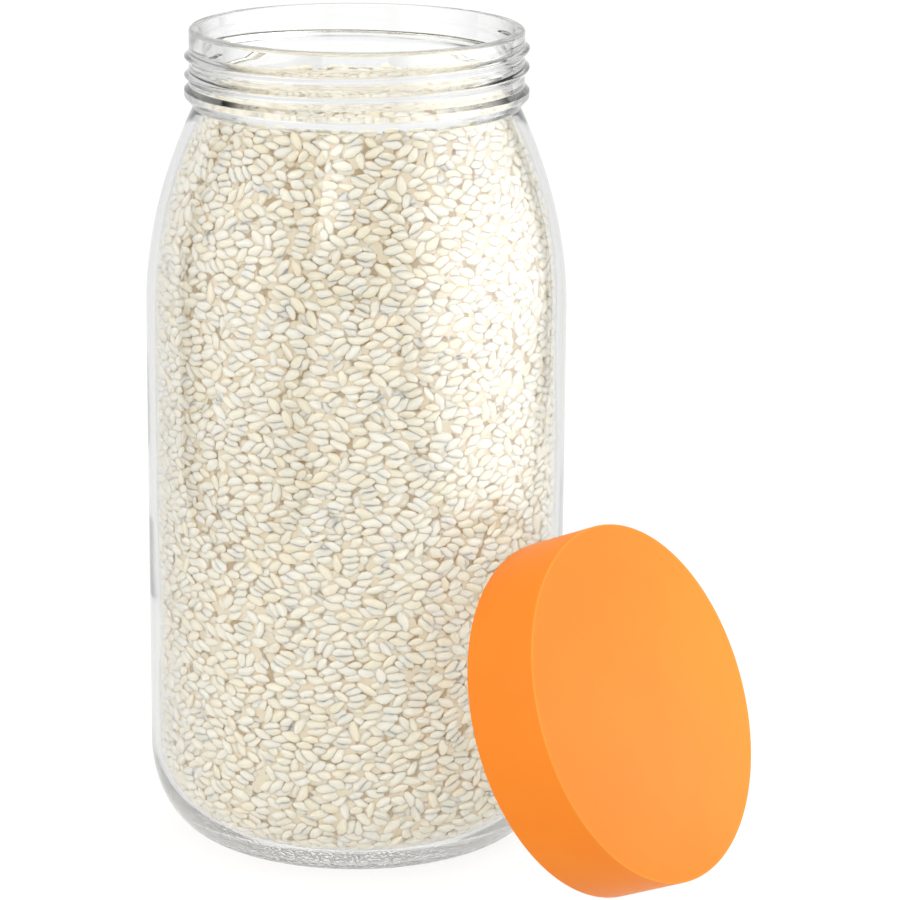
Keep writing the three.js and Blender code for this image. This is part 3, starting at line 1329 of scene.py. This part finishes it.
    def _grain_piece(self, name: str, grains: Sequence[Grain], template: bpy.types.Mesh,
                     material: bpy.types.Material) -> bpy.types.Object:
        """Join a batch of grains to one piece.

        Args:
            name: the piece's name.
            grains: the grains in the batch.
            template: one grain of unit size.
            material: the look of the grains.

        Returns:
            The piece, with each grain's tint on its points.
        """
        rest = [value for vert in template.vertices for value in vert.co]
        mesh = bmesh.new()
        for grain in grains:
            template.vertices.foreach_set("co", rest)
            template.transform(grain.place)
            mesh.from_mesh(template)
        template.vertices.foreach_set("co", rest)
        piece = add_piece(name, mesh, Body.JAR, material)
        tints = [grain.tint for grain in grains for _ in template.vertices]
        mark_points(piece, "tint", tints)
        return piece


@dataclass
class ScrewLid:
    """The lid: a flat top and a plain skirt with an inside thread, and the sealing ring in it."""

    place: Matrix
    height: float = 26.1 * MM
    radius: float = 58.45 * MM
    wall: float = 2.2 * MM
    top: float = 2.5 * MM
    edge_ease: float = 0.72 * MM
    mouth_chamfer: float = 0.8 * MM
    inside_ease: float = 0.5 * MM
    rib_inner: float = 47.4 * MM
    rib_outer: float = 49.0 * MM
    rib_height: float = 1.7 * MM
    thread_pitch: float = 6.1 * MM
    thread_turns: float = 1.5
    thread_start: float = 3.6 * MM
    thread_rise: float = 1.55 * MM
    thread_root: float = 3.2 * MM
    thread_crest: float = 0.9 * MM
    seal_inner: float = 49.3 * MM
    seal_outer: float = 55.95 * MM
    seal_thickness: float = 2.0 * MM
    seal_gap: float = 0.3 * MM
    facets: int = 200
    thread_row: float = 0.35 * MM
    plastic: PlasticFinish = field(default_factory=PlasticFinish)
    silicone: SiliconeFinish = field(default_factory=SiliconeFinish)

    @classmethod
    def from_frame(cls) -> "ScrewLid":
        """Take the lid's place from the joint that it turns on, which is at the middle of its top."""
        joint = next(joint for joint in frame["joints"] if joint["child"] == Body.LID.value)
        axis = Vector(joint["axis"]).normalized()
        side = Vector((0.0, 1.0, 0.0))
        turn = Matrix((side.cross(axis), side, axis)).transposed().to_4x4()
        return cls(Matrix.Translation(Vector(joint["pos_m"]) - axis * cls.height) @ turn)

    def shell(self) -> bmesh.types.BMesh:
        """Turn the lid with its open edge on the ground, and raise its thread."""
        ceiling = self.height - self.top
        skirt = self.radius - self.wall
        ease = self.inside_ease
        rows = round((ceiling - self.mouth_chamfer) / self.thread_row)
        span = (ceiling - ease - self.mouth_chamfer) / rows
        wall = [Corner(skirt, ceiling - ease - span * row) for row in range(rows + 1)]
        outline = [
            Corner(0.0, ceiling),
            Corner(self.rib_inner, ceiling, ease),
            Corner(self.rib_inner, ceiling - self.rib_height, ease / 2),
            Corner(self.rib_outer, ceiling - self.rib_height, ease / 2),
            Corner(self.rib_outer, ceiling, ease),
            Corner(skirt, ceiling, ease),
            *wall[1:],
            Corner(skirt + self.mouth_chamfer / 2, 0.0, ease / 2),
            Corner(self.radius, 0.0, self.edge_ease),
            Corner(self.radius, self.height, self.edge_ease),
            Corner(0.0, self.height),
        ]
        mesh = turned(rounded(outline), self.facets)
        thread = ScrewThread(pitch=self.thread_pitch, turns=self.thread_turns, start_angle=0.0,
                             start_height=self.thread_start, rise=-self.thread_rise,
                             root_width=self.thread_root, crest_width=self.thread_crest)
        thread.raise_on(mesh, skirt)
        return mesh

    def ring(self) -> bmesh.types.BMesh:
        """Turn the sealing ring under the lid's top."""
        high = self.height - self.top - self.seal_gap
        low = high - self.seal_thickness
        middle = (self.seal_inner + self.seal_outer) / 2
        ease = self.inside_ease
        outline = [
            Corner(middle, low),
            Corner(self.seal_outer, low, ease),
            Corner(self.seal_outer, high, ease),
            Corner(self.seal_inner, high, ease),
            Corner(self.seal_inner, low, ease),
            Corner(middle, low),
        ]
        return turned(rounded(outline), self.facets)

    def _on_edge(self, point: Vector) -> float:
        """How much a point of the upright lid lies on the round of its top edge, from 0 to 1."""
        in_from_side, down_from_top = self.radius - point.xy.length, self.height - point.z
        return 1.0 - min(1.0, max(in_from_side, down_from_top) / self.edge_ease)

    def build(self) -> list[bpy.types.Object]:
        """Model the lid and its ring, and lean them on the jar."""
        shell = self.shell()
        ring = self.ring()
        # painted highlight on the round of the lid's top edge
        painted_edge_highlight = [self._on_edge(vert.co) for vert in shell.verts]
        for mesh in (shell, ring):
            bmesh.ops.transform(mesh, matrix=self.place, verts=mesh.verts)
        centre = self.place @ Vector((0.0, 0.0, self.height / 2))
        lid = add_piece("lid_shell", shell, Body.LID, self.plastic.material(centre))
        mark_points(lid, "edge", painted_edge_highlight)
        lid.visible_diffuse = False
        lid.visible_glossy = False
        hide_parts("screw_lid")
        seal = add_piece("lid_seal", ring, Body.RING, self.silicone.material(centre))
        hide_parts("sealing_ring")
        return [lid, seal]


@dataclass(frozen=True)
class PhotoCamera:
    """The viewpoint, given round the jar's foot."""

    azimuth: float = math.radians(34.57)
    distance: float = 1.2614
    pitch: float = math.radians(15.04)
    yaw: float = math.radians(1.46)
    roll: float = math.radians(0.46)
    aim_height: float = 128.1 * MM
    lens: float = 151.96

    def build(self, jar: GlassJar) -> bpy.types.Object:
        """Make the camera and use it.

        Args:
            jar: the jar that it looks at.

        Returns:
            The camera.
        """
        data = bpy.data.cameras.new("camera")
        data.lens = self.lens
        camera = in_scene("camera", data)
        level = Vector((0.0, -math.cos(self.pitch), math.sin(self.pitch))) * self.distance
        around = Matrix.Rotation(self.azimuth, 4, "Z")
        aim = jar.foot + Vector((0.0, 0.0, self.aim_height))
        look = Matrix.Rotation(self.azimuth - self.yaw, 4, "Z") @ Matrix.Rotation(
            math.pi / 2 - self.pitch, 4, "X") @ Matrix.Rotation(self.roll, 4, "Z")
        camera.matrix_world = Matrix.Translation(aim + around @ level) @ look
        bpy.context.scene.camera = camera
        return camera


class PanelUse(Enum):
    """What a light panel is for."""

    BOTH = "light and gloss"
    GLOSS = "gloss"
    LIGHT = "light"


@dataclass(frozen=True)
class SoftPanel:
    """A soft light panel, brightest in its middle and fading out to its edges."""

    name: str
    azimuth: float
    elevation: float
    distance: float
    width: float
    height: float
    strength: float
    core: float = 0.3
    use: PanelUse = PanelUse.BOTH

    def build(self, aim: Vector) -> bpy.types.Object:
        """Stand the panel round a point and turn it to that point.

        Args:
            aim: the point that it lights.

        Returns:
            The panel.
        """
        mesh = bmesh.new()
        bmesh.ops.create_grid(mesh, x_segments=1, y_segments=1, size=0.5)
        bmesh.ops.scale(mesh, vec=Vector((self.width, self.height, 1.0)), verts=mesh.verts)
        data = mesh_data(self.name, mesh)
        data.materials.append(self._glow())
        panel = in_scene(self.name, data)
        out = Vector((math.sin(self.azimuth) * math.cos(self.elevation),
                      -math.cos(self.azimuth) * math.cos(self.elevation), math.sin(self.elevation)))
        turn = out.to_track_quat("Z", "Y").to_matrix().to_4x4()
        about = Matrix.Rotation(math.pi, 4, "X")
        panel.matrix_world = Matrix.Translation(aim + out * self.distance) @ turn @ about
        panel.visible_camera = False
        panel.visible_transmission = self.use is PanelUse.GLOSS
        panel.visible_diffuse = self.use is not PanelUse.GLOSS
        panel.visible_glossy = self.use is not PanelUse.LIGHT
        panel.visible_shadow = False
        return panel

    def _glow(self) -> bpy.types.Material:
        """Make the light of the panel."""
        sheet = new_sheet(self.name)
        parts = sheet.node("ShaderNodeSeparateXYZ", None, {0: sheet.node("ShaderNodeTexCoord")["Object"]})
        across = parts[0].size().ramp(self.width / 2, self.width / 2 * self.core)
        up = parts[1].size().ramp(self.height / 2, self.height / 2 * self.core)
        colour = sheet.blend(across * up, BLACK, WHITE)
        return sheet.finish(sheet.node("ShaderNodeEmission", None, {0: colour, 1: self.strength})[0])


@dataclass
class Studio:
    """A pale floor, an even white surround and soft panels."""

    jar: GlassJar
    view: PhotoCamera
    ambient: float = 0.95
    mirrored: float = 1.0
    ceiling_start: Span = (0.36, 0.66)
    ceiling_shade: float = 0.9
    room_start: Span = (0.45, 0.9)
    room_shade: float = 0.8
    floor_radius: float = 8.0
    floor_facets: int = 96
    bounces: int = 24
    diffuse_bounces: int = 8
    floor: FloorFinish = field(default_factory=FloorFinish)

    def build(self) -> None:
        """Set up the light's paths, the surround, the floor and the panels."""
        self._follow_light()
        self._surround()
        self._lay_floor()
        aim = self.jar.foot + Vector((0.0, 0.0, self.jar.height / 2))
        for panel in self.panels():
            panel.build(aim)
            log.info("light panel %s", panel.name)

    def _follow_light(self) -> None:
        """Follow light for long enough to leave the thick glass of the base."""
        paths = bpy.context.scene.cycles
        paths.max_bounces = paths.glossy_bounces = paths.transmission_bounces = self.bounces
        paths.diffuse_bounces = self.diffuse_bounces

    def panels(self) -> list[SoftPanel]:
        """The light panels, placed round the viewpoint."""
        front = self.view.azimuth
        return [
            SoftPanel("key_panel", front + math.radians(76), math.radians(18), 1.0, 1.15, 1.3, 1.65),
            SoftPanel("wash_panel", front + math.radians(75), math.radians(10), 0.38, 1.08, 0.7, 4.0,
                      core=0.1, use=PanelUse.GLOSS),
            SoftPanel("veil_panel", front - math.radians(65), math.radians(6), 0.38, 0.68, 0.7, 1.2,
                      core=0.15, use=PanelUse.GLOSS),
            SoftPanel("bounce_panel", front + math.radians(83.5), math.radians(-16.4), 0.266, 0.12, 0.12,
                      8.0, use=PanelUse.LIGHT),
            SoftPanel("fill_panel", front - math.radians(25), math.radians(32), 1.5, 1.4, 1.2, 3.6),
            SoftPanel("top_panel", front + math.radians(150), math.radians(80), 1.1, 1.4, 1.4, 2.4),
        ]

    def _surround(self) -> None:
        """Make a world that is white to look at and gives a lower, even light."""
        world = bpy.data.worlds.new("surround")
        sheet = NodeSheet(world)
        path = sheet.node("ShaderNodeLightPath")
        way = sheet.node("ShaderNodeTexCoord")["Generated"]
        up = sheet.node("ShaderNodeSeparateXYZ", None, {0: way})[2]
        toward = (math.sin(self.view.azimuth), -math.cos(self.view.azimuth), 0.0)
        along = sheet.node("ShaderNodeVectorMath", {"operation": "DOT_PRODUCT"}, {0: way, 1: toward})
        ahead = along["Value"]
        wall = 1.0 - up.ramp(*self.ceiling_start) * self.ceiling_shade
        wall = wall * (1.0 - ahead.ramp(*self.room_start) * self.room_shade)
        clear = path["Is Glossy Ray"].largest(path["Is Transmission Ray"])
        around = self.ambient + clear * (wall * self.mirrored - self.ambient)
        strength = path["Is Camera Ray"].largest(around)
        inputs = {"Color": WHITE, "Strength": strength}
        bpy.context.scene.world = sheet.finish(sheet.node("ShaderNodeBackground", None, inputs)[0])

    def _lay_floor(self) -> None:
        """Lay a wide round floor."""
        mesh = bmesh.new()
        bmesh.ops.create_circle(mesh, cap_ends=True, segments=self.floor_facets, radius=self.floor_radius)
        data = mesh_data("floor", mesh)
        data.materials.append(self.floor.material())
        in_scene("floor", data)


def main() -> None:
    """Build the jar, the rice and the lid, and set the studio round them."""
    logging.basicConfig(level=logging.INFO, format="%(name)s: %(message)s")
    bpy.context.scene.view_settings.view_transform = "Standard"
    jar = GlassJar.from_frame()
    view = PhotoCamera()
    view.build(jar)
    pieces = [jar.build(), *RiceFill.from_frame(jar).build(), *ScrewLid.from_frame().build()]
    for piece in pieces:
        log.info("%s: %d faces", piece.name, len(piece.data.polygons))
    Studio(jar, view).build()


if __name__ == "__main__":
    main()
